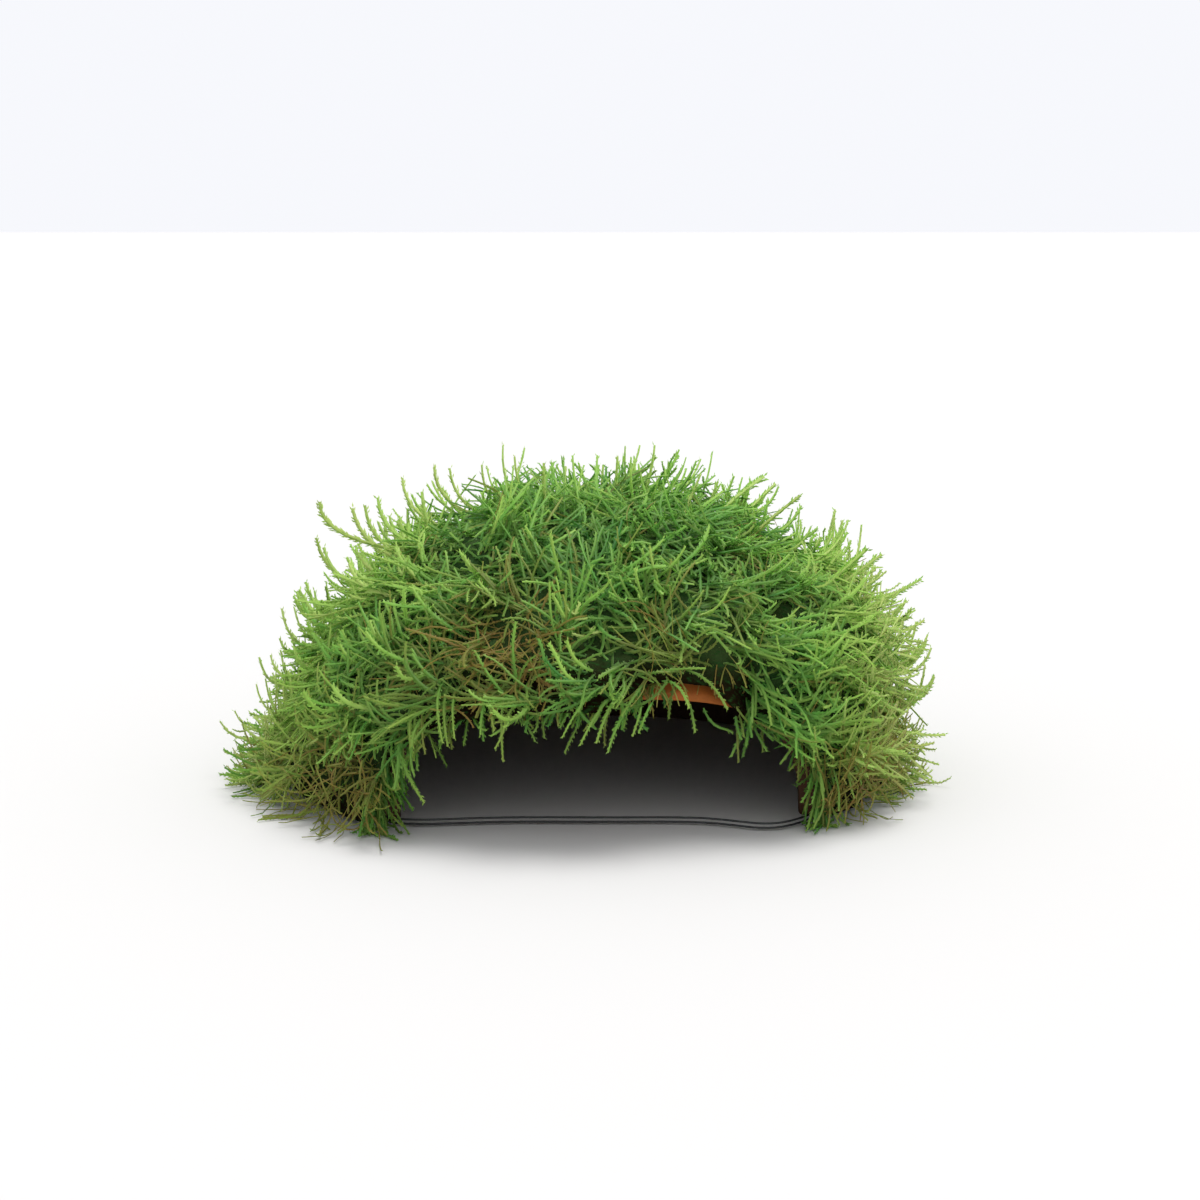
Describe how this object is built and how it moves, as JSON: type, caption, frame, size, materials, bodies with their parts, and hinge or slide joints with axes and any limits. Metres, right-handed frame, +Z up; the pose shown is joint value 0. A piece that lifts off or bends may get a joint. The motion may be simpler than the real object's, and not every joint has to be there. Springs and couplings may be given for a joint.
{
  "type": "java moss on half coconut shell",
  "caption": "Half coconut shell with a low arched doorway, covered outside in java moss and bound with dark thread; rests on its rim as an aquarium cave.",
  "frame": {"origin": "on the ground, under the middle of the whole object's box", "axes": "+X to the right when facing the doorway, -Y out of the doorway, +Z up"},
  "size_m": [0.1552, 0.1452, 0.0739],
  "materials": {
    "coconut_shell": "hard nut shell with short fibres, dark brown, orange-brown on its sawn edges",
    "java_moss": "dense mat of fine mid-green stems with tiny leaves, lighter yellow-green tips, some brown patches",
    "binding_thread": "thin black nylon line"
  },
  "bodies": {
    "root": {"coconut_shell": "coconut_shell", "java_moss": "java_moss", "binding_thread": "binding_thread"}
  },
  "joints": []
}
